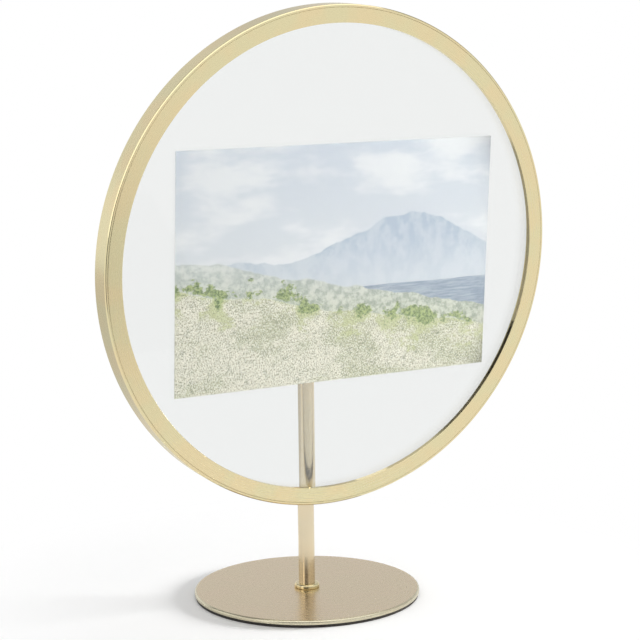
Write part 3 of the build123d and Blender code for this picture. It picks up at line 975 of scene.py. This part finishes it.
def makeRing():
    settings = ringSettings
    segments = settings["segments"]
    hoop = Span("ring_hoop", discFrame)
    bezel = Span("front_bezel", discFrame)
    frontSeal = Span("front_gasket", discFrame)
    rearSeal = Span("rear_gasket", discFrame)
    bore = bezel.outer + settings["slip"]
    flangeFace = hoop.low + settings["flange"]
    cut = settings["rimCut"]
    rimFace = bezel.high - settings["rimDrop"]
    corners = [
        (bore, rimFace, settings["lipRound"]),
        (hoop.outer - cut, rimFace, settings["rimRound"]),
        (hoop.outer, rimFace - cut, settings["rimRound"]),
        (hoop.outer, hoop.low, settings["rearRound"]),
        (hoop.inner, hoop.low, settings["lipRound"]),
        (hoop.inner, rearSeal.low, 0),
        (rearSeal.outer, rearSeal.low, 0),
        (rearSeal.outer, flangeFace, 0),
        (bore, flangeFace, 0),
    ]
    rimReach = cut + settings["rimRound"] * tan(pi / 8)  # the rounding runs on past the cut
    rimStart, rimFoot = hoop.outer - rimReach, rimFace - rimReach
    rim = (brass["rimBrass"], lambda radius, height: radius > rimStart and height > rimFoot)
    piece = turned("ringHoop", corners, discFrame, brass["discBrass"], segments, 8, finishes=[rim])
    fitted(piece, "head", "satin_brass", "ring_hoop")

    skirtInner = bezel.outer - settings["skirt"]
    faceBack = bezel.high - settings["faceThickness"]
    mouthEnd = frontSeal.low + settings["mouthClear"]
    mouthOuter = bezel.inner + settings["mouthWall"]
    corners = [
        (bezel.inner, bezel.high, settings["mouthRound"]),
        (bezel.outer, bezel.high, settings["faceEdgeRound"]),
        (bezel.outer, bezel.low, 0),
        (skirtInner, bezel.low, 0),
        (skirtInner, faceBack, 0),
        (mouthOuter, faceBack, 0),
        (mouthOuter, mouthEnd, 0),
        (bezel.inner, mouthEnd, 0),
    ]
    mouthStart = bezel.inner + settings["mouthRound"] / 2
    mouth = (brass["mouthBrass"], lambda radius, height: radius < mouthStart)
    piece = turned("frontBezel", corners, discFrame, brass["discBrass"], segments, finishes=[mouth])
    fitted(piece, "cover", "satin_brass", "front_bezel")

    for name, node, body in (("frontSeal", "front_gasket", "cover"), ("rearSeal", "rear_gasket", "head")):
        seal = Span(node, discFrame)
        soft = min(seal.high - seal.low, seal.outer - seal.inner) * settings["sealRound"]
        corners = ringCorners(seal, [soft] * 4)
        piece = turned(name, corners, discFrame, matt["rubberBlack"], segments, 3)
        fitted(piece, body, "black_rubber", node)

    for name, node, body in (("frontPane", "front_glass", "cover"), ("rearPane", "rear_glass", "head")):
        pane = Span(node, discFrame)
        edge = settings["paneEdge"]
        corners = [
            (0, pane.low, 0),
            (pane.outer - edge, pane.low, 0),
            (pane.outer, pane.low + edge, 0),
            (pane.outer, pane.high - edge, 0),
            (pane.outer - edge, pane.high, 0),
            (0, pane.high, 0),
        ]
        piece = turned(name, corners, discFrame, paneGlass, segments, closed=False)
        fitted(piece, body, "clear_glass", node)


makeRing()
print("ring, seals and panes made")


# The print, a sheet with its picture in front and bare paper on the back and edges
printSettings = {"columns": 12, "rows": 8, "facing": 0.5}


def makePrint():
    settings = printSettings
    sheet = Span("photo_print", discFrame)
    left, right = min(place.x for place in sheet.places), max(place.x for place in sheet.places)
    bottom, top = min(place.y for place in sheet.places), max(place.y for place in sheet.places)
    middle = Vector(((left + right) / 2, (bottom + top) / 2, 0))
    axes = discFrame @ Matrix.Translation(middle)
    width, height, depth = right - left, top - bottom, sheet.high - sheet.low
    shape = bmesh.new()
    columns, rows = settings["columns"], settings["rows"]
    bmesh.ops.create_grid(shape, x_segments=columns, y_segments=rows, size=0.5)
    for vertex in shape.verts:
        vertex.co = Vector((vertex.co.x * width, vertex.co.y * height, sheet.low))
    faces = list(shape.faces)
    grown = bmesh.ops.extrude_face_region(shape, geom=faces)
    for item in grown["geom"]:
        if isinstance(item, bmesh.types.BMVert):
            item.co.z += depth
    bmesh.ops.recalc_face_normals(shape, faces=shape.faces)
    for face in shape.faces:
        face.material_index = 0 if face.normal.z > settings["facing"] else 1
    mesh = bpy.data.meshes.new("photoPrint")
    shape.to_mesh(mesh)
    shape.free()
    mesh.materials.append(printedPicture(axes))
    mesh.materials.append(matt["paperWhite"])
    mesh.transform(axes)
    piece = linked("photoPrint", mesh)
    fitted(piece, "print", "printed_paper", "photo_print")


makePrint()
print("print made")


# Hub, fork and pivot hardware behind the disc
hubSettings = {"rearRound": 0.0004, "segments": 128}
pivotPieces = (  # name, node, finish and width of the eased edges
    ("pivotFork", "pivot_fork", discSteel, 0.0002),
    ("pivotScrew", "pivot_screw", pivotSteel, 0.00006),
    ("pivotNut", "pivot_nut", pivotSteel, 0.0001),
    ("pivotSpring", "pivot_spring", pivotSteel, 0.00004),
)


def makeHub():
    segments = hubSettings["segments"]
    corners = discCorners(Span("hub_disc", discFrame), hubSettings["rearRound"])
    piece = turned("hubDisc", corners, discFrame, discSteel, segments, closed=False)
    fitted(piece, "head", "zinc_steel", "hub_disc")
    corners = discCorners(Span("hub_bond", discFrame), 0)
    piece = turned("hubBond", corners, discFrame, bondClear, segments, closed=False)
    fitted(piece, "head", "clear_bond", "hub_bond")
    for name, node, steel, edge in pivotPieces:
        fitted(softened(name, node, steel, edge), "head", "zinc_steel", node)


makeHub()
print("hub and pivot made")


# Repeated small pieces: the hub's screws, the pivot's washers and the cover's pads
screwSettings = {
    "shank": 0.00125,
    "headHeight": 0.0015,
    "headRound": 0.0005,
    "slotWidth": 0.0006,
    "slotDepth": 0.0006,
    "slotReach": 3,  # times the head's radius, so that the cutter passes it on both sides
    "edge": 0.00005,
    "segments": 48,
}
washerSettings = {"thickness": 0.0005, "edge": 0.00006, "segments": 64}
padSettings = {"count": 6, "steps": 12, "edge": 0.00004}


def cutSlot(mesh, low, width, depth, length):
    # a straight slot across the head, at its lowest face
    block = bpy.data.meshes.new("slotBlock")
    shape = bmesh.new()
    bmesh.ops.create_cube(shape, size=1.0)
    for vertex in shape.verts:
        vertex.co = Vector((vertex.co.x * length, vertex.co.y * width, low + vertex.co.z * 2 * depth))
    shape.to_mesh(block)
    shape.free()
    cutter = linked("slotBlock", block)
    piece = linked("slottedScrew", mesh)
    cut = piece.modifiers.new("slot", "BOOLEAN")
    cut.operation = "DIFFERENCE"
    cut.solver = "EXACT"
    cut.object = cutter
    made = bakedMesh(piece, "slottedScrew")
    bpy.data.objects.remove(cutter)
    return made


def makeHubScrews():
    settings = screwSettings
    span = Span("hub_screws", discFrame)
    low, high = span.low, span.high
    right = [place.x for place in span.places if place.x > 0]
    across = (min(right) + max(right)) / 2
    headRadius = (max(right) - min(right)) / 2
    headTop = low + settings["headHeight"]
    corners = [
        (0, low, 0),
        (headRadius, low, settings["headRound"]),
        (headRadius, headTop, 0),
        (settings["shank"], headTop, 0),
        (settings["shank"], high, 0),
        (0, high, 0),
    ]
    one = turnedMesh("hubScrew", corners, discSteel, settings["segments"], closed=False)
    slotLength = headRadius * settings["slotReach"]
    one = cutSlot(one, low, settings["slotWidth"], settings["slotDepth"], slotLength)
    mesh = copied("hubScrews", one, discSteel, 2, (-across, 0.0, 0.0), (across * 2, 0.0, 0.0))
    mesh.transform(discFrame)
    piece = smoothed("hubScrews", mesh, bevel=settings["edge"])
    fitted(piece, "head", "zinc_steel", "hub_screws")


def makeWashers():
    settings = washerSettings
    span = Span("pivot_washers", pivotFrame)
    edge = settings["edge"]
    corners = [
        (span.inner, 0, edge),
        (span.outer, 0, edge),
        (span.outer, settings["thickness"], edge),
        (span.inner, settings["thickness"], edge),
    ]
    one = turnedMesh("pivotWasher", corners, matt["nylonWhite"], settings["segments"], 3)
    apart = span.high - settings["thickness"] - span.low
    mesh = copied("pivotWashers", one, matt["nylonWhite"], 2, (0.0, 0.0, span.low), (0.0, 0.0, apart))
    mesh.transform(pivotFrame)
    fitted(smoothed("pivotWashers", mesh), "head", "white_nylon", "pivot_washers")


def makePads():
    settings = padSettings
    span = Span("cover_pads", discFrame)
    nearest = span.inner * cos(pi / settings["count"])
    half = max(abs(place.y) for place in span.places if place.x > nearest)
    steps = settings["steps"]
    points, faces = [], []
    for radius in (span.inner, span.outer):
        for height in (span.low, span.high):
            reach = asin(half / radius)
            for step in range(steps + 1):
                angle = reach * (2 * step / steps - 1)
                points.append((radius * cos(angle), radius * sin(angle), height))
    rows = [0, steps + 1, 3 * (steps + 1), 2 * (steps + 1)]
    for first, second in zip(rows, rows[1:] + rows[:1]):
        for step in range(steps):
            faces.append((first + step, first + step + 1, second + step + 1, second + step))
    faces += [tuple(rows), tuple(row + steps for row in rows)]
    one = bpy.data.meshes.new("coverPad")
    one.from_pydata(points, [], faces)
    cleaned(one)
    mesh = copied("coverPads", one, matt["rubberBlack"], settings["count"], turn=2 * pi / settings["count"])
    mesh.transform(discFrame)
    fitted(smoothed("coverPads", mesh, bevel=settings["edge"]), "cover", "black_rubber", "cover_pads")


makeHubScrews()
makeWashers()
makePads()
print("screws, washers and pads made")

# The plug inside the stem stays as it is, with its finish
insertData = frame["nodes"]["stem_insert"].data
insertData.materials.clear()
insertData.materials.append(brass["tubeBrass"])
